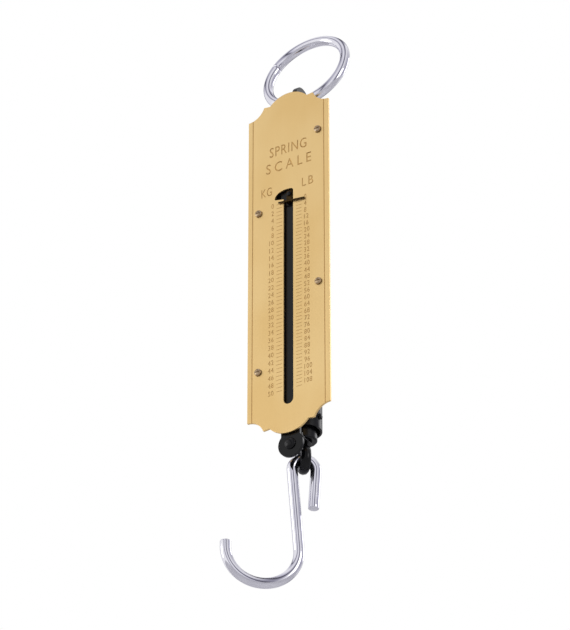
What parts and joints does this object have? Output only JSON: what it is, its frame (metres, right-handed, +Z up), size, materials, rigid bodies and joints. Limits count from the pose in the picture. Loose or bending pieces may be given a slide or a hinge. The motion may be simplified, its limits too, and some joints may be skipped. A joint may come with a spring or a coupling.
{
  "type": "hanging spring scale",
  "caption": "Hanging spring scale: flat brass dial with a slot and pointer in front of a round spring tube, with a hanging ring above and a swivelling S-hook below.",
  "frame": {"origin": "hanging point: the inside of the hanging ring at its top, where it rests on whatever holds it", "axes": "+X to the dial's right, +Z up along the spring tube, and the dial faces -Y"},
  "size_m": [0.0479, 0.0344, 0.2742],
  "materials": {
    "satin_brass": "satin",
    "dark_brass": "tarnished",
    "black_enamel": "gloss",
    "chrome_plate": "polished",
    "bright_steel": "bright",
    "zinc_plated_steel": "satin"
  },
  "bodies": {
    "ring": {"hanging_ring": "chrome_plate"},
    "casing": {"face_plate": "satin_brass", "backing_plate": "black_enamel", "casing_tube": "black_enamel", "saddle_band_upper": "black_enamel", "saddle_band_lower": "black_enamel", "saddle_rivet_upper_left": "bright_steel", "saddle_rivet_upper_right": "bright_steel", "saddle_rivet_lower_left": "bright_steel", "saddle_rivet_lower_right": "bright_steel", "face_screw_1": "bright_steel", "face_screw_2": "bright_steel", "face_screw_3": "bright_steel", "face_screw_4": "bright_steel", "spacer_1": "zinc_plated_steel", "spacer_2": "zinc_plated_steel", "spacer_3": "zinc_plated_steel", "spacer_4": "zinc_plated_steel", "top_plug": "black_enamel", "plug_rivet_left": "black_enamel", "plug_rivet_right": "black_enamel", "guide_bush": "black_enamel", "bush_rivet_left": "black_enamel", "bush_rivet_right": "black_enamel", "hanging_lug": "black_enamel", "lug_pin": "bright_steel", "spring_anchor": "zinc_plated_steel", "spring": "zinc_plated_steel"},
    "draw": {"draw_tube": "black_enamel", "spring_plug": "zinc_plated_steel", "draw_pin": "bright_steel", "index_bar": "black_enamel", "pointer": "dark_brass", "pointer_rivet": "black_enamel", "link_bracket": "black_enamel", "bracket_rivet": "black_enamel"},
    "eye": {"hook_eye": "black_enamel"},
    "hook": {"s_hook": "chrome_plate"}
  },
  "joints": [
    {"name": "ring_swing", "type": "hinge", "parent": "ring", "child": "casing", "pos_m": [0, -0.00973, -0.03508], "axis": [1, 0, 0], "range_deg": [-85, 54]},
    {"name": "draw_slide", "type": "slide", "parent": "casing", "child": "draw", "axis": [0, 0, -1], "range_m": [0, 0.091], "stiffness_N_per_m": 5390, "deforming": ["spring"]},
    {"name": "eye_swivel", "type": "hinge", "parent": "draw", "child": "eye", "pos_m": [0, -0.00763, -0.20968], "axis": [0, 0, 1], "continuous": true},
    {"name": "hook_swing", "type": "hinge", "parent": "eye", "child": "hook", "pos_m": [0, -0.00763, -0.21468], "axis": [-0.6691, 0.7431, 0], "range_deg": [-40, 40]}
  ]
}
